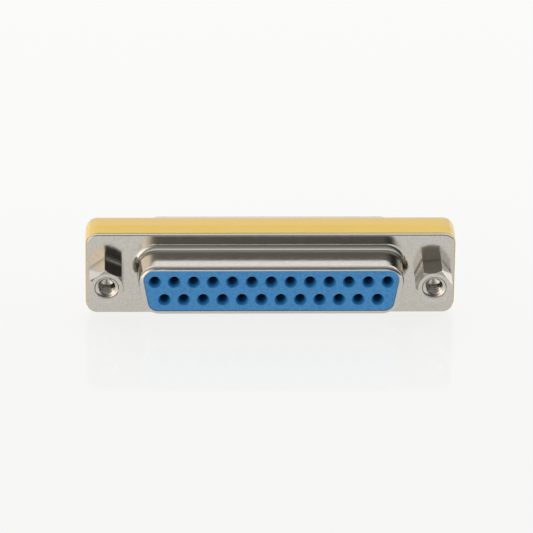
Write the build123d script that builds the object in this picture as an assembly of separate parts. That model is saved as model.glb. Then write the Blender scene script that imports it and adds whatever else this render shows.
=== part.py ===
from build123d import *
import math
import os

# Slim 25-way D-subminiature gender changer, socket side to socket side.
# Row frame: +Z up, X along the long side, the front plug face looks toward -Y.
# It stands on the long edge of the plastic spacer, and the origin is the centre
# of that footprint. Everything is in millimetres.

# ---------------------------------------------------------------- dimensions
# flanges of the two drawn-steel shells
flange_w, flange_h = 52.7, 12.64      # long side, short side
flange_t = 0.5                        # sheet thickness at the flange
flange_r = 1.5                        # corner radius in plan
flange_edge_r = 0.2                   # front edge of the rim, broken by the tumbling
flange_hole_r = 1.6                   # clearance holes for the jack screws
flange_hole_x = 23.52                 # half of the 47.04 standard spacing

# D-shaped hoods, measured where they leave the flange; they taper to the front
hood_p = 5.2                          # stands this far out of the flange
hood_half_w = 18.95                   # half width at mid height, outside
hood_half_h = 4.10                    # half height, outside
hood_slope = 10.0                     # side slope in degrees
hood_corner_r = 2.85                  # outer corner radius of the D
hood_taper = 2.3                      # draft of the drawn wall, degrees
hood_wall = 0.45                      # drawn wall
hood_front_r = 0.6                    # rolled-in front edge, outer radius
hood_base_r = 0.85                    # outside radius where hood meets flange
hood_back_r = 0.85                    # rounding at the back of the drawn opening
lip_t = 0.45                          # thickness of the turned-in lip
lip_half_w, lip_half_h = 17.96, 3.24  # the lip's D opening
lip_r = 1.5

# plastic spacer ring between the flanges
band_d = 4.45                         # distance between the flanges
band_w, band_h = 53.06, 12.84         # over the parting line
band_r = 1.8
band_draft = 1.2                      # mould draft either side of the middle
cavity_w, cavity_h, cavity_r = 41.4, 10.2, 1.0
band_hole_x, band_hole_r = 23.4, 1.6

# insulators
base_w, base_h, base_r = 40.8, 9.6, 0.8
base_t = 0.95
body_gap = 0.05                       # all round, inside the hood
lip_gap = 0.02                        # all round, inside the lip
face_gap = 0.06                       # face lies this far behind the lip
lead_r, bore_r, lead_deep = 0.94, 0.63, 0.55
entry_deep = 1.8                      # closed entry ends here
cavity_contact_r = 0.85

# contact layout
pitch = 2.77
row_half = 1.42                       # rows 2.84 apart
n_long, n_short = 13, 12

# contacts, double-ended sockets for pins of 1.02 mm diameter
tube_r, tube_bore_r = 0.78, 0.52
tube_bore_deep = 3.8
collar_r, collar_w = 0.845, 0.7
slit_w, slit_l = 0.2, 3.0
strip_w, strip_t, strip_r = 0.72, 0.3, 0.55

# jack standoffs (front) and jack nuts (rear), 4-40 thread
stand_x = (-23.47, 23.33)             # left, right: they float in the flange holes
hex_af = 4.65
stand_l = 4.3
stand_front_d = 4.6                   # front circle left by the turned-off corners
turn_off = 50.0                       # slope of the turned-off corners, degrees from the face
tap_r = 1.15                          # wall of the tapped holes
csk_r, csk_step_r = 1.76, 1.60        # countersink: a steep rim, then a shallow seat
csk_rim, csk_deep = 0.20, 0.35        # depths of the rim and of the whole countersink
tap_deep = 3.0
tap_tip = 15.0                        # slope of the bore's bottom, degrees
stud_r = 1.40
stud_end_y = 4.20
nut_shoulder_y = 4.25
nut_inner_r = 1.41
turn_front = (5.8, 36.5)              # degrees off vertex-up: left, right
turn_rear = (17.0, 8.0)

# ---------------------------------------------------------------- derived
y_flange_back = -band_d / 2
y_flange = y_flange_back - flange_t
y_hood = y_flange - hood_p
y_face = y_hood + face_gap
z_c = 6.365                           # centre height above the footprint


def at(y):
    """Sketch plane at this y, looking from the front: local x is X, local y is Z."""
    return Plane.XZ.offset(-y)


def d_shape(w, h, r):
    """A D outline, wide side up: half width at mid height, half height, corner radius."""
    s = math.tan(math.radians(hood_slope))
    pts = [(-w - h * s, h), (w + h * s, h), (w - h * s, -h), (-w + h * s, -h)]
    with BuildSketch() as sk:
        with BuildLine():
            Polyline(*pts, close=True)
        make_face()
        fillet(sk.vertices(), r)
    return sk.sketch


def d_profile(inset):
    """The hood's D where it leaves the flange, drawn this far inside its outside."""
    c = math.cos(math.radians(hood_slope))
    return d_shape(hood_half_w - inset / c, hood_half_h - inset, hood_corner_r - inset)


def slab(sketch, y0, y1, taper=0):
    """Extrude a front-view sketch from y0 forward to y1 (y1 < y0)."""
    return extrude(at(y0) * sketch, y0 - y1, taper=taper)


def rod(x, z, r, y0, y1):
    """Cylinder along Y from y0 to y1."""
    lo, hi = min(y0, y1), max(y0, y1)
    return Pos(x, lo, z) * Rot(-90, 0, 0) * Cylinder(r, hi - lo, align=(Align.CENTER, Align.CENTER, Align.MIN))


def taper_rod(x, z, r0, y0, r1, y1):
    """Cone frustum along Y, radius r0 at y0 and r1 at y1, with y0 < y1."""
    return Pos(x, y0, z) * Rot(-90, 0, 0) * Cone(r0, r1, y1 - y0, align=(Align.CENTER, Align.CENTER, Align.MIN))


def edges_at(shape, y, rim=False):
    """Edges that lie in the plane y: those of the D outline, or of the flange rim."""
    out = []
    for e in shape.edges():
        b = e.bounding_box()
        if abs(b.min.Y - y) < 1e-4 and abs(b.max.Y - y) < 1e-4:
            if (max(abs(b.min.X), abs(b.max.X)) > 20.9) == rim:
                out.append(e)
    return out


# ---------------------------------------------------------------- shell
def make_shell():
    flange = slab(RectangleRounded(flange_w, flange_h, flange_r), y_flange_back, y_flange)
    flange = fillet(edges_at(flange, y_flange, rim=True), flange_edge_r)
    outer = slab(d_profile(0), y_flange, y_hood, hood_taper)
    outer = fillet(edges_at(outer, y_hood), hood_front_r)
    shell = flange + outer
    shell = fillet(edges_at(shell, y_flange), hood_base_r)
    # inside of the hood, closed by the lip at the front
    wall_back = hood_wall - flange_t * math.tan(math.radians(hood_taper))
    inner = slab(d_profile(wall_back), y_flange_back, y_hood + lip_t, hood_taper)
    inner = fillet(edges_at(inner, y_hood + lip_t), hood_front_r - lip_t)
    shell = shell - inner
    shell = fillet(edges_at(shell, y_flange_back), hood_back_r)
    shell = shell - slab(d_shape(lip_half_w, lip_half_h, lip_r), y_hood + 2 * lip_t, y_hood - 1)
    for x in (-flange_hole_x, flange_hole_x):
        shell = shell - rod(x, 0, flange_hole_r, y_flange_back + 1, y_flange - 1)
    return shell.solids()[0]


# ---------------------------------------------------------------- insulator
def sites():
    """(x, z) of every contact on the front face, in pin order: long row first."""
    out = [((n_long - 1) / 2 * pitch - i * pitch, row_half) for i in range(n_long)]
    out += [((n_short - 1) / 2 * pitch - i * pitch, -row_half) for i in range(n_short)]
    return out


def make_insulator():
    base = slab(RectangleRounded(base_w, base_h, base_r), y_flange_back + base_t, y_flange_back)
    y_step = y_hood + lip_t + 0.04
    wall_back = hood_wall - flange_t * math.tan(math.radians(hood_taper))
    body = slab(d_profile(wall_back + body_gap), y_flange_back, y_step, hood_taper)
    body = chamfer(edges_at(body, y_step), 0.15)
    boss = slab(d_shape(lip_half_w - lip_gap, lip_half_h - lip_gap, lip_r - lip_gap), y_flange_back, y_face)
    boss = fillet(edges_at(boss, y_face), 0.06)
    block = base + body + boss
    tools = []
    for x, z in sites():
        tools.append(taper_rod(x, z, lead_r, y_face, bore_r, y_face + lead_deep))
        tools.append(rod(x, z, bore_r, y_face + lead_deep - 0.01, y_face + entry_deep + 0.01))
        tools.append(rod(x, z, cavity_contact_r, y_face + entry_deep, y_flange_back + base_t + 1))
    block = block - tools
    return block.solids()[0]


# ---------------------------------------------------------------- contact
def half_contact(z):
    """Socket tube on the front side at height z, with its slits and collar."""
    y0 = y_face + entry_deep + 0.05
    y1 = -1.45
    tube = rod(0, z, tube_r, y0, y1)
    tube = chamfer(tube.edges().filter_by(lambda e: abs(e.center().Y - y0) < 1e-3), 0.12)
    tube = tube + rod(0, z, collar_r, -2.75, -2.75 + collar_w)
    tube = tube - rod(0, z, tube_bore_r, y0 - 0.1, y0 + tube_bore_deep)
    tube = tube - taper_rod(0, z, tube_bore_r + 0.1, y0 - 0.001, tube_bore_r, y0 + 0.12)
    slit = Pos(0, y0 + slit_l / 2 - 0.05, z) * Box(2 * tube_r + 1, slit_l + 0.1, slit_w)
    return tube - slit


def make_contact(z_front):
    """One piece: front socket, S-bent strip crossing to the other row, rear socket."""
    front = half_contact(z_front)
    rear = Rot(180, 0, 0) * half_contact(z_front)
    pts = [(-1.55, z_front), (0, z_front), (0, -z_front), (1.55, -z_front)]
    path = FilletPolyline(*[(0, y, z) for y, z in pts], radius=strip_r)
    face = Plane(origin=(0, pts[0][0], z_front), x_dir=(1, 0, 0), z_dir=(0, 1, 0)) * Rectangle(strip_w, strip_t)
    strip = sweep(face, path=path)
    return (front + rear + strip).solids()[0]


# ---------------------------------------------------------------- spacer ring
def make_spacer():
    mid = Plane.XZ * RectangleRounded(band_w, band_h, band_r)
    ring = extrude(mid, band_d / 2, taper=band_draft) + extrude(mid, -band_d / 2, taper=band_draft)
    ring = ring - slab(RectangleRounded(cavity_w, cavity_h, cavity_r), band_d, -band_d)
    for x in (-band_hole_x, band_hole_x):
        ring = ring - rod(x, 0, band_hole_r, -band_d, band_d)
    # the long edge it stands on is flat: the parting ridge is level with the faces there
    ring = ring - Pos(0, 0, -z_c) * Box(80, 20, 10, align=(Align.CENTER, Align.CENTER, Align.MAX))
    return ring.solids()[0]


# ---------------------------------------------------------------- jack hardware
def hex_bar(length, y_open, turn):
    """Hexagon along Y, its free end at y_open and its seat at y_open + length, chamfered at the free end."""
    r_corner = hex_af / math.sqrt(3)
    body = extrude(at(y_open + length) * Rot(0, 0, turn) * RegularPolygon(r_corner, 6, rotation=90), length)
    slope = math.tan(math.radians(turn_off))
    drop = (r_corner - stand_front_d / 2) * slope
    keep = taper_rod(0, 0, stand_front_d / 2, y_open, r_corner, y_open + drop)
    keep = keep + rod(0, 0, r_corner + 0.5, y_open + drop, y_open + length + 1)
    keep = keep + taper_rod(0, 0, r_corner, y_open + drop, r_corner + 0.5, y_open + drop + 0.5 * slope)
    return body & keep


def countersink(y_open):
    """Cutter for the tapered mouth of a tapped hole that opens toward the front."""
    rim = taper_rod(0, 0, csk_r, y_open, csk_step_r, y_open + csk_rim)
    return rim + taper_rod(0, 0, csk_step_r, y_open + csk_rim, tap_r, y_open + csk_deep)


def make_standoff(turn):
    """Hex body on the front flange, tapped from the front, with a stud through to the rear."""
    y_open = y_flange - stand_l
    body = hex_bar(stand_l, y_open, turn)
    stud = rod(0, 0, stud_r, y_flange - 0.001, stud_end_y)
    stud = chamfer(stud.edges().filter_by(lambda e: abs(e.center().Y - stud_end_y) < 1e-3), 0.25)
    body = body + stud
    body = body - rod(0, 0, tap_r, y_open - 1, y_open + tap_deep)
    tip = tap_r * math.tan(math.radians(tap_tip))
    body = body - taper_rod(0, 0, tap_r, y_open + tap_deep - 0.0001, 0.02, y_open + tap_deep + tip)
    body = body - countersink(y_open)
    return body.solids()[0]


def make_nut(turn):
    """Hex nut on the rear flange, modelled facing front and then turned round."""
    y_open = y_flange - stand_l
    body = hex_bar(stand_l, y_open, turn)
    body = body - rod(0, 0, tap_r, y_open - 1, -nut_shoulder_y)
    body = body - rod(0, 0, nut_inner_r, -nut_shoulder_y, y_flange + 1)
    body = body - countersink(y_open)
    return (Rot(180, 0, 0) * body).solids()[0]


# ---------------------------------------------------------------- assembly
lift = Pos(0, 0, z_c)
turn_over = Rot(180, 0, 0)            # the rear half is the front half rolled over about X

shell = make_shell()
insulator = make_insulator()
out = {
    "front_shell": lift * shell,
    "rear_shell": lift * turn_over * shell,
    "spacer_frame": lift * make_spacer(),
    "front_insulator": lift * insulator,
    "rear_insulator": lift * turn_over * insulator,
    "jack_standoff_left": lift * Pos(stand_x[0], 0, 0) * make_standoff(turn_front[0]),
    "jack_standoff_right": lift * Pos(stand_x[1], 0, 0) * make_standoff(turn_front[1]),
    "rear_jack_nut_left": lift * Pos(stand_x[0], 0, 0) * make_nut(turn_rear[0]),
    "rear_jack_nut_right": lift * Pos(stand_x[1], 0, 0) * make_nut(turn_rear[1]),
}
long_contact = make_contact(row_half)
short_contact = make_contact(-row_half)
for i, (x, z) in enumerate(sites()):
    piece = long_contact if z > 0 else short_contact
    out[f"contact_{i + 1:02d}"] = lift * Pos(x, 0, 0) * piece

for name, shape in out.items():
    export_step(shape, f"parts/{name}.step")
    b = shape.bounding_box()
    print(name, len(shape.solids()), round(shape.volume, 3), [round(v, 3) for v in (*b.min, *b.max)])
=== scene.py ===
import math

import bpy
import numpy as np
from mathutils import Matrix, Vector


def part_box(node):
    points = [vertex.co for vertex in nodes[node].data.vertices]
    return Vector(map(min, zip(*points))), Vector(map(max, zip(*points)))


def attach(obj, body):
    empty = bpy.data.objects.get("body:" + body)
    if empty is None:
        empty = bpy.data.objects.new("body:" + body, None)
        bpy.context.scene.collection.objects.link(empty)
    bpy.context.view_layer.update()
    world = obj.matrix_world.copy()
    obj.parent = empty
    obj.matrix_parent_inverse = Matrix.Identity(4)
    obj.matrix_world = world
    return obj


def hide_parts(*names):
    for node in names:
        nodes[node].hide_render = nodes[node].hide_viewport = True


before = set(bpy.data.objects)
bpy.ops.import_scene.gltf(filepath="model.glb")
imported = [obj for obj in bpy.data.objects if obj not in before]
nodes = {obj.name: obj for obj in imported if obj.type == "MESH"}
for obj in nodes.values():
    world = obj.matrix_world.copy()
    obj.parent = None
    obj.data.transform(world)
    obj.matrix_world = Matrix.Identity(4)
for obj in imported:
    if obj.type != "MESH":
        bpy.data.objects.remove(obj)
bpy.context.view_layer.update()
MM = 0.001

# ------------------------------------------------------------------ sizes (mm)
Z_C = 6.365                   # height of the plug's centre line
Y_SEAT = 2.725                # flange faces
HEX_L = 4.3
HEX_AF = 4.65
FRONT_D = 4.6                 # circle left where a hex's corners are turned off
TURN_OFF = 50.0               # slope of the turned-off corners, degrees from the face
CSK_R, CSK_STEP = 1.76, 1.60  # countersink: radius at its mouth, and below its steep rim
CSK_RIM, CSK_DEEP = 0.20, 0.35
TAP_DEEP, TAP_TIP = 3.0, 15.0 # tapped hole: depth of its wall, slope of its bottom
STUD_END = 4.20
THREAD_P = 0.635              # 40 threads per inch
R_MINOR, R_MAJOR = 1.15, 1.42


# ------------------------------------------------------------------ helpers
def link(obj):
    bpy.context.scene.collection.objects.link(obj)
    return obj


def mesh_object(name, verts, faces, smooth_angle=30.0):
    me = bpy.data.meshes.new(name)
    me.from_pydata([tuple(v) for v in verts], [], [tuple(f) for f in faces])
    me.validate()
    me.update()
    me.polygons.foreach_set("use_smooth", [True] * len(me.polygons))
    me.set_sharp_from_angle(angle=math.radians(smooth_angle))
    return link(bpy.data.objects.new(name, me))


class Nodes:
    """A short way to write a material's node tree."""

    def __init__(self, name):
        self.mat = bpy.data.materials.new(name)
        self.mat.use_nodes = True
        self.nt = self.mat.node_tree
        self.bsdf = self.nt.nodes["Principled BSDF"]
        self.co = self.nt.nodes.new("ShaderNodeTexCoord").outputs["Object"]

    def new(self, kind, **props):
        n = self.nt.nodes.new(kind)
        for k, v in props.items():
            setattr(n, k, v)
        return n

    def put(self, socket, value):
        if isinstance(value, bpy.types.NodeSocket):
            self.nt.links.new(value, socket)
        else:
            socket.default_value = value

    def scaled(self, sx, sy, sz):
        m = self.new("ShaderNodeMapping")
        self.put(m.inputs["Vector"], self.co)
        m.inputs["Scale"].default_value = (sx, sy, sz)
        return m.outputs["Vector"]

    def noise(self, size_mm, detail=2.0, rough=0.5, vector=None, distortion=0.0):
        n = self.new("ShaderNodeTexNoise")
        self.put(n.inputs["Vector"], vector or self.co)
        n.inputs["Scale"].default_value = 1000.0 / size_mm if vector is None else 1.0
        n.inputs["Detail"].default_value = detail
        n.inputs["Roughness"].default_value = rough
        n.inputs["Distortion"].default_value = distortion
        return n.outputs["Fac"]

    def math(self, op, a, b=0.0, clamp=False):
        n = self.new("ShaderNodeMath", operation=op, use_clamp=clamp)
        self.put(n.inputs[0], a)
        self.put(n.inputs[1], b)
        return n.outputs[0]

    def remap(self, value, a, b, c, d):
        n = self.new("ShaderNodeMapRange")
        self.put(n.inputs["Value"], value)
        for k, v in zip(("From Min", "From Max", "To Min", "To Max"), (a, b, c, d)):
            n.inputs[k].default_value = v
        return n.outputs["Result"]

    def mix(self, fac, a, b):
        n = self.new("ShaderNodeMix", data_type="RGBA")
        self.put(n.inputs[0], fac)
        self.put(n.inputs[6], a)
        self.put(n.inputs[7], b)
        return n.outputs[2]

    def bump(self, height, distance_um, normal=None, strength=1.0):
        n = self.new("ShaderNodeBump")
        n.inputs["Strength"].default_value = strength
        n.inputs["Distance"].default_value = distance_um * 1e-6
        self.put(n.inputs["Height"], height)
        if normal is not None:
            self.put(n.inputs["Normal"], normal)
        return n.outputs["Normal"]


def rgb(r, g, b):
    """sRGB 0..255 to linear RGBA."""
    out = []
    for c in (r, g, b):
        c /= 255.0
        out.append(c / 12.92 if c <= 0.04045 else ((c + 0.055) / 1.055) ** 2.4)
    return (*out, 1.0)


# ------------------------------------------------------------------ materials
def nickel(name, tint, rough_lo, rough_hi, grain_um, wave_um):
    n = Nodes(name)
    cloud = n.noise(5.0, 3.0, 0.55)
    fine = n.noise(0.24, 3.0, 0.65)
    col = n.mix(n.remap(cloud, 0.3, 0.7, 0.0, 1.0), tuple(c * 0.965 for c in tint[:3]) + (1.0,), tint)
    col = n.mix(n.remap(fine, 0.40, 0.68, 0.0, 0.72), col, tuple(c * 0.80 for c in tint[:3]) + (1.0,))
    n.put(n.bsdf.inputs["Base Color"], col)
    n.bsdf.inputs["Metallic"].default_value = 1.0
    patch = n.noise(1.6, 3.0, 0.6)
    r = n.math("ADD", n.remap(patch, 0.3, 0.7, rough_lo, rough_hi), n.remap(fine, 0.3, 0.7, -0.015, 0.03))
    n.put(n.bsdf.inputs["Roughness"], r)
    # drawn sheet: a slow waviness, an orange-peel grain, and a few fine scratches
    wave = n.bump(n.noise(2.2, 2.0, 0.5), wave_um)
    peel = n.bump(n.noise(0.32, 2.0, 0.6), grain_um, wave)
    pits = n.bump(fine, grain_um * 0.35, peel)
    scratch_v = n.scaled(260.0, 9000.0, 9000.0)
    scratch = n.noise(1, 1.0, 0.5, vector=scratch_v)
    lines = n.bump(n.remap(scratch, 0.62, 0.75, 0.0, 1.0), 0.5, pits)
    n.put(n.bsdf.inputs["Normal"], lines)
    return n.mat


def yellow_plastic():
    n = Nodes("yellow_plastic")
    cloud = n.noise(7.0, 2.0, 0.5)
    flow = n.noise(1, 2.0, 0.5, vector=n.scaled(60.0, 420.0, 420.0))
    base = n.mix(n.remap(cloud, 0.3, 0.7, 0.0, 1.0), rgb(244, 202, 66), rgb(247, 207, 80))
    base = n.mix(n.remap(flow, 0.35, 0.75, 0.0, 0.35), base, rgb(250, 214, 96))
    # the half behind the parting line (y > 0) is a little paler
    xyz = n.new("ShaderNodeSeparateXYZ")
    n.put(xyz.inputs[0], n.co)
    base = n.mix(n.remap(xyz.outputs[1], -0.00006, 0.00006, 0.0, 0.85), base, rgb(245, 205, 110))
    n.put(n.bsdf.inputs["Base Color"], base)
    fine = n.noise(0.12, 2.0, 0.6)
    n.put(n.bsdf.inputs["Roughness"], n.remap(fine, 0.3, 0.7, 0.17, 0.23))
    n.bsdf.inputs["IOR"].default_value = 1.49
    b = n.bump(n.noise(2.8, 2.0, 0.5), 3.0)
    b = n.bump(n.noise(0.2, 2.0, 0.5), 0.7, b)
    n.put(n.bsdf.inputs["Normal"], b)
    return n.mat


def blue_plastic():
    n = Nodes("blue_plastic")
    grain = n.noise(0.22, 3.0, 0.65)
    cloud = n.noise(3.0, 2.0, 0.5)
    base = n.mix(n.remap(grain, 0.32, 0.68, 0.0, 1.0), rgb(46, 131, 196), rgb(70, 157, 222))
    base = n.mix(n.remap(cloud, 0.3, 0.7, 0.0, 0.25), base, rgb(60, 146, 208))
    spots = n.noise(0.6, 2.0, 0.7)
    base = n.mix(n.remap(spots, 0.48, 0.72, 0.0, 0.6), base, rgb(38, 116, 180))
    # painted shade: behind the face, down the holes, the blue turns deeper and greener, standing in for the shade and
    # the light bounced round inside them
    xyz = n.new("ShaderNodeSeparateXYZ")
    n.put(xyz.inputs[0], n.co)
    painted_hole_shade = n.remap(n.math("ABSOLUTE", xyz.outputs[1]), 0.007845, 0.00750, 0.0, 1.0)
    base = n.mix(painted_hole_shade, base, rgb(8, 112, 172))
    n.put(n.bsdf.inputs["Base Color"], base)
    n.put(n.bsdf.inputs["Roughness"], n.remap(grain, 0.3, 0.7, 0.46, 0.6))
    n.bsdf.inputs["IOR"].default_value = 1.5
    b = n.bump(n.noise(0.12, 2.0, 0.6), 1.2)
    n.put(n.bsdf.inputs["Normal"], b)
    return n.mat


def contact_metal():
    n = Nodes("contact_metal")
    cloud = n.noise(0.9, 2.0, 0.5)
    # the contacts' own gold tone, darkened as painted shade for their place deep in the holes
    n.put(n.bsdf.inputs["Base Color"], n.mix(n.remap(cloud, 0.3, 0.7, 0.0, 1.0), rgb(150, 120, 78), rgb(172, 142, 98)))
    n.bsdf.inputs["Metallic"].default_value = 1.0
    n.put(n.bsdf.inputs["Roughness"], n.remap(n.noise(0.1, 2.0, 0.5), 0.3, 0.7, 0.28, 0.42))
    n.put(n.bsdf.inputs["Normal"], n.bump(n.noise(0.15, 2.0, 0.5), 0.8))
    return n.mat


NICKEL = (0.604, 0.578, 0.526, 1.0)
mat_shell = nickel("nickel_shell", NICKEL, 0.105, 0.155, 1.8, 5.0)
mat_hex = nickel("nickel_hex", (0.605, 0.575, 0.52, 1.0), 0.13, 0.19, 0.6, 0.8)
mat_yellow = yellow_plastic()
mat_blue = blue_plastic()
mat_contact = contact_metal()


def dress(obj, mat):
    obj.data.materials.clear()
    obj.data.materials.append(mat)


for name, obj in nodes.items():
    if name.endswith("_shell"):
        dress(obj, mat_shell)
    elif name == "spacer_frame":
        dress(obj, mat_yellow)
    elif name.endswith("_insulator"):
        dress(obj, mat_blue)
    elif name.startswith("contact_"):
        dress(obj, mat_contact)


# ------------------------------------------------------------------ jack hardware with real threads
def thread_r(theta, y):
    """Wall radius of the tapped hole in mm: a right-hand 60 degree form along +Y."""
    u = np.mod(y / THREAD_P - theta / (2 * math.pi), 1.0)
    t = np.abs(2 * u - 1)                       # 0 in the root, 1 on the crest
    return R_MAJOR - (R_MAJOR - R_MINOR) * np.clip((t - 0.10) / 0.68, 0.0, 1.0)


def hex_r(theta, turn, round_r=0.13):
    """Radius of the hexagon's side at each angle, its edges broken by a small radius."""
    a = HEX_AF / 2
    phi = np.mod(theta - turn, math.pi / 3) - math.pi / 6     # 0 in the middle of a flat
    flat = a / np.cos(phi)
    d = (a - round_r) / math.cos(math.pi / 6)
    delta = math.pi / 6 - np.abs(phi)                          # 0 on a corner
    arc = d * np.cos(delta) + np.sqrt(np.maximum(round_r**2 - (d * np.sin(delta)) ** 2, 0.0))
    lim = math.atan((a - round_r) * math.tan(math.pi / 6) / a)
    return np.where(np.abs(phi) < lim, flat, arc)


def sector_angles(turn):
    """Angles round a hexagon, closer together near its six edges."""
    steps = np.concatenate([np.linspace(0, 4.2, 6)[:-1], np.linspace(4.2, 55.8, 11)[:-1], np.linspace(55.8, 60, 6)[:-1]])
    return np.concatenate([np.radians(steps + 60 * k) for k in range(6)]) + turn


def revolve(name, rings, theta, x0, flip, close_first, close_last):
    """Joins rings of (y, r) arrays, each one value or one per angle, into one skin about the Y line through x0."""
    n = len(theta)
    verts, faces = [], []
    for y, r in rings:
        y = np.broadcast_to(y, (n,))
        r = np.broadcast_to(r, (n,))
        for j in range(n):
            verts.append(((x0 + r[j] * math.sin(theta[j])) * MM, y[j] * MM, (Z_C + r[j] * math.cos(theta[j])) * MM))
    for k in range(len(rings) - 1):
        for j in range(n):
            a, b = k * n + j, k * n + (j + 1) % n
            f = (a, b, b + n, a + n)
            faces.append(f[::-1] if flip else f)
    for ring, cap, y in ((0, close_first, rings[0][0]), (len(rings) - 1, close_last, rings[-1][0])):
        if cap is None:
            continue
        c = len(verts)
        verts.append((x0 * MM, cap * MM, Z_C * MM))
        for j in range(n):
            a, b = ring * n + j, ring * n + (j + 1) % n
            f = (a, b, c) if ring else (b, a, c)
            faces.append(f[::-1] if flip else f)
    return mesh_object(name, verts, faces, 28.0)


def hex_rings(theta, turn, sign):
    """Free end and sides of a hexagon whose free end is at sign * (seat + length), from the countersink out to the seat."""
    y_open = sign * (Y_SEAT + HEX_L)
    inward = -sign
    side = hex_r(theta, turn)
    drop = np.maximum(side - FRONT_D / 2, 0.0) * math.tan(math.radians(TURN_OFF))
    rings = []
    for r, d in ((CSK_R + 0.015, 0.0), (2.02, 0.0), (FRONT_D / 2 - 0.03, 0.0), (FRONT_D / 2, 0.008)):
        rings.append((y_open + inward * d, r))
    for s in (0.35, 0.7, 0.93):
        r = FRONT_D / 2 + (side - FRONT_D / 2) * s
        rings.append((y_open + inward * (drop * s + 0.008), r))
    rings.append((y_open + inward * (drop + 0.045), side - 0.004))
    rings.append((y_open + inward * (drop + 0.10), side))
    for s in (0.33, 0.66):
        rings.append((y_open + inward * (drop + 0.10 + (HEX_L - 0.16 - drop) * s), side))
    rings.append((sign * Y_SEAT + sign * 0.06, side))
    rings.append((sign * Y_SEAT + sign * 0.015, side - 0.02))
    rings.append((sign * Y_SEAT, side - 0.06))
    return rings


def bore_rings(theta, sign, y_end, step=THREAD_P / 12):
    """Threaded wall from its inner end out to the countersunk mouth."""
    y_open = sign * (Y_SEAT + HEX_L)
    rings = []
    rows = int(round(abs(y_open - y_end) / step))
    for i in range(rows + 1):
        y = y_end + (y_open - y_end) * i / rows
        cone = np.interp(abs(y_open - y), (0.0, CSK_RIM, CSK_DEEP), (CSK_R, CSK_STEP, R_MINOR))
        r = np.maximum(thread_r(theta, y), cone)
        if i < 3 and sign < 0:                    # the last turn runs out into the drilled end
            r = np.minimum(r, R_MINOR + 0.09 * i)
        rings.append((y, r))
    return rings


def standoff(name, x0, turn_deg, stands_for):
    turn = -math.radians(turn_deg)                # about -Y: angles here grow the other way
    theta = sector_angles(turn)
    y_open = -(Y_SEAT + HEX_L)
    y_end = y_open + TAP_DEEP
    tip = R_MINOR * math.tan(math.radians(TAP_TIP))
    rings = [(y_end + tip * 0.93, 0.08), (y_end + tip * 0.5, R_MINOR * 0.5)]
    rings += bore_rings(theta, -1, y_end)
    rings += hex_rings(theta, turn, -1)
    # stud: the same helix as the nut it screws into, with a little clearance
    rings.append((-Y_SEAT, 1.50))
    rings.append((-Y_SEAT + 0.05, R_MAJOR - 0.02))
    y0, y1 = -Y_SEAT + 0.5, STUD_END
    rings.append((y0 - 0.1, R_MAJOR - 0.02))
    rows = int((y1 - y0) / (THREAD_P / 9))
    for i in range(rows + 1):
        y = y0 + (y1 - y0) * i / rows
        r = np.minimum(thread_r(theta, y) - 0.02, 1.15 + (y1 - y))
        rings.append((y, r))
    obj = revolve(name, rings, theta, x0, True, y_end + tip, y1)
    dress(obj, mat_hex)
    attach(obj, "root")
    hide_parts(stands_for)
    return obj


def jack_nut(name, x0, turn_deg, stands_for):
    turn = math.radians(turn_deg)
    theta = sector_angles(turn)
    rings = bore_rings(theta, 1, Y_SEAT)
    rings += hex_rings(theta, turn, 1)
    rings.append((Y_SEAT, 1.6))
    rings.append((Y_SEAT, thread_r(theta, Y_SEAT)))
    obj = revolve(name, rings, theta, x0, False, None, None)
    dress(obj, mat_hex)
    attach(obj, "root")
    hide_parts(stands_for)
    return obj


def centre_x(node):
    lo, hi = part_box(node)
    return (lo[0] + hi[0]) / 2 / MM


for side, t_front, t_rear in (("left", 5.8, 17.0), ("right", 36.5, 8.0)):
    standoff(f"standoff_{side}_threaded", centre_x(f"jack_standoff_{side}"), t_front, f"jack_standoff_{side}")
    jack_nut(f"jack_nut_{side}_threaded", centre_x(f"rear_jack_nut_{side}"), t_rear, f"rear_jack_nut_{side}")


# ------------------------------------------------------------------ floor
me = bpy.data.meshes.new("floor")
S = 3.0
me.from_pydata([(-S, -S, 0), (S, -S, 0), (S, S, 0), (-S, S, 0)], [], [(0, 1, 2, 3)])
floor = link(bpy.data.objects.new("floor", me))
n = Nodes("floor_white")
n.bsdf.inputs["Base Color"].default_value = (0.10, 0.10, 0.10, 1)
n.put(n.bsdf.inputs["Roughness"], n.remap(n.noise(40.0, 2.0, 0.5), 0.3, 0.7, 0.05, 0.09))
n.bsdf.inputs["IOR"].default_value = 1.22
n.bsdf.inputs["Emission Color"].default_value = (1.0, 0.998, 0.99, 1)
fxyz = n.new("ShaderNodeSeparateXYZ")
n.put(fxyz.inputs[0], n.co)
n.put(n.bsdf.inputs["Emission Strength"], n.remap(fxyz.outputs[1], -0.32, -0.10, 0.45, 0.82))
floor.data.materials.append(n.mat)


# ------------------------------------------------------------------ light
world = bpy.data.worlds.new("studio")
bpy.context.scene.world = world
world.use_nodes = True
wt = world.node_tree
bg = wt.nodes["Background"]


def wnode(kind, **props):
    nd = wt.nodes.new(kind)
    for k, v in props.items():
        setattr(nd, k, v)
    return nd


def wput(socket, value):
    if isinstance(value, bpy.types.NodeSocket):
        wt.links.new(value, socket)
    else:
        socket.default_value = value


def wmath(op, a, b=0.0, c=0.0):
    nd = wnode("ShaderNodeMath", operation=op)
    wput(nd.inputs[0], a)
    wput(nd.inputs[1], b)
    if len(nd.inputs) > 2:
        wput(nd.inputs[2], c)
    return nd.outputs[0]


def wstep(value, lo, hi):
    """0 below lo, 1 above hi, smooth between."""
    nd = wnode("ShaderNodeMapRange", interpolation_type="SMOOTHSTEP")
    wput(nd.inputs["Value"], value)
    nd.inputs["From Min"].default_value = lo
    nd.inputs["From Max"].default_value = hi
    return nd.outputs["Result"]


direction = wnode("ShaderNodeTexCoord").outputs["Generated"]
sep = wnode("ShaderNodeSeparateXYZ")
wput(sep.inputs[0], direction)
dx, dy, dz = sep.outputs
# angle in the plane across the long side: 0 behind the object, 90 overhead, 180 in front
over = wmath("MULTIPLY", wmath("ARCTAN2", dz, dy), 180 / math.pi)
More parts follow.
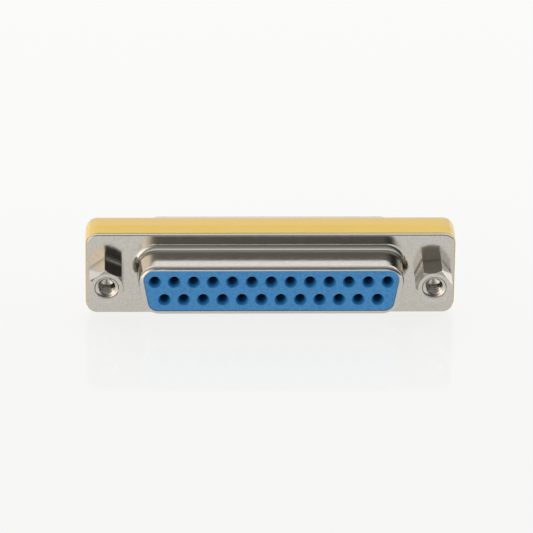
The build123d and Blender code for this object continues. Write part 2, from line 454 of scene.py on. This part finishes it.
# angle toward either end of the long side
side = wmath("MULTIPLY", wmath("ARCSINE", dx), 180 / math.pi)

azim = wmath("MULTIPLY", wmath("ARCTAN2", dx, wmath("MULTIPLY", dy, -1.0)), 180 / math.pi)
elev = wmath("MULTIPLY", wmath("ARCSINE", dz), 180 / math.pi)


def wramp(value, points):
    """Brightness by angle, straight between the given (angle, brightness) points."""
    total = points[0][1]
    for (a, va), (b, vb) in zip(points, points[1:]):
        if va != vb:
            nd = wnode("ShaderNodeMapRange")
            wput(nd.inputs["Value"], value)
            for k, v in zip(("From Min", "From Max", "To Min", "To Max"), (a, b, 0.0, vb - va)):
                nd.inputs[k].default_value = v
            total = wmath("ADD", nd.outputs["Result"], total)
    return total


# the pale backdrop, the soft box high behind, its spill overhead, and the dim room on the camera's side
sky = wramp(over, ((-60, 0.5), (-20, 1.0), (20, 1.15), (27.5, 1.25), (29.5, 0.85), (31.6, 0.85), (32.6, 1.36), (48, 1.36),
                   (58, 1.08), (82, 1.04), (97, 0.66), (114, 0.58), (121, 0.42), (126, 0.27), (132, 0.29), (147, 0.29), (152, 0.20), (160, 0.15),
                   (175, 0.08), (185, 0.08)))
# less of it toward either end
sky = wmath("MULTIPLY", sky, wramp(wmath("ABSOLUTE", side), ((45, 1.0), (75, 0.55))))
# on the camera's side: a soft box low on the left, darkness on the right
front = wmath("MULTIPLY", wstep(over, 125.0, 150.0), wramp(elev, ((-10, 1.0), (22, 1.0), (40, 0.0))))
left = wramp(azim, ((-85, 0.0), (-65, 1.6), (-26, 1.6), (-12, 0.25), (4, 0.0)))
right = wramp(azim, ((2, 0.0), (20, 1.0), (60, 1.0), (85, 0.0)))
sky = wmath("MULTIPLY", sky, wmath("SUBTRACT", 1.0, wmath("MULTIPLY", wmath("MULTIPLY", front, right), 0.80)))
low = wmath("MULTIPLY", right, wramp(elev, ((-8, 0.40), (2, 0.40), (12, 0.0))))
total = wmath("ADD", sky, wmath("MULTIPLY", front, left))
total = wmath("ADD", total, wmath("MULTIPLY", front, low))
comb = wnode("ShaderNodeCombineColor")
# the soft box on the left is a little warmer than the rest
warm = wmath("MULTIPLY", front, left)
wput(comb.inputs[0], wmath("ADD", wmath("MULTIPLY", total, 0.99), wmath("MULTIPLY", warm, 0.10)))
wput(comb.inputs[1], wmath("ADD", wmath("MULTIPLY", total, 1.0), wmath("MULTIPLY", warm, -0.03)))
wput(comb.inputs[2], wmath("ADD", wmath("MULTIPLY", total, 1.01), wmath("MULTIPLY", warm, -0.17)))
wput(bg.inputs["Color"], comb.outputs[0])
bg.inputs["Strength"].default_value = 1.0


def area(name, loc, target, size_x, size_y, watts, color=(1, 1, 1)):
    light = bpy.data.lights.new(name, "AREA")
    light.shape = "RECTANGLE"
    light.size, light.size_y = size_x, size_y
    light.energy = watts
    light.color = color
    obj = link(bpy.data.objects.new(name, light))
    obj.location = loc
    obj.rotation_euler = (Vector(target) - Vector(loc)).to_track_quat("-Z", "Y").to_euler()
    return obj


# ------------------------------------------------------------------ camera
CAM_D, CAM_EL, CAM_YAW, CAM_ROLL, CAM_F, CAM_X, CAM_Z = 783.846, 28.465, 1.863, 0.809, 6.947, -0.485, 6.059
el, yaw, roll = (math.radians(v) for v in (CAM_EL, CAM_YAW, CAM_ROLL))
back_v = Vector((-math.sin(yaw) * math.cos(el), -math.cos(yaw) * math.cos(el), math.sin(el)))
right_v = (-back_v).cross(Vector((0, 0, 1))).normalized()
up_v = right_v.cross(-back_v)
r_v = right_v * math.cos(roll) + up_v * math.sin(roll)
u_v = up_v * math.cos(roll) - right_v * math.sin(roll)
pos = Vector((CAM_X, 0, CAM_Z)) * MM + back_v * CAM_D * MM
cam_data = bpy.data.cameras.new("camera")
cam_data.sensor_width = 36.0
cam_data.lens = CAM_F * CAM_D * 36.0 / 533.0
cam_data.clip_start, cam_data.clip_end = 0.05, 20.0
cam = link(bpy.data.objects.new("camera", cam_data))
m = Matrix.Identity(4)
for i in range(3):
    m[i][0], m[i][1], m[i][2], m[i][3] = r_v[i], u_v[i], back_v[i], pos[i]
cam.matrix_world = m
bpy.context.scene.camera = cam

bpy.context.scene.view_settings.view_transform = "Standard"
bpy.context.scene.view_settings.look = "None"
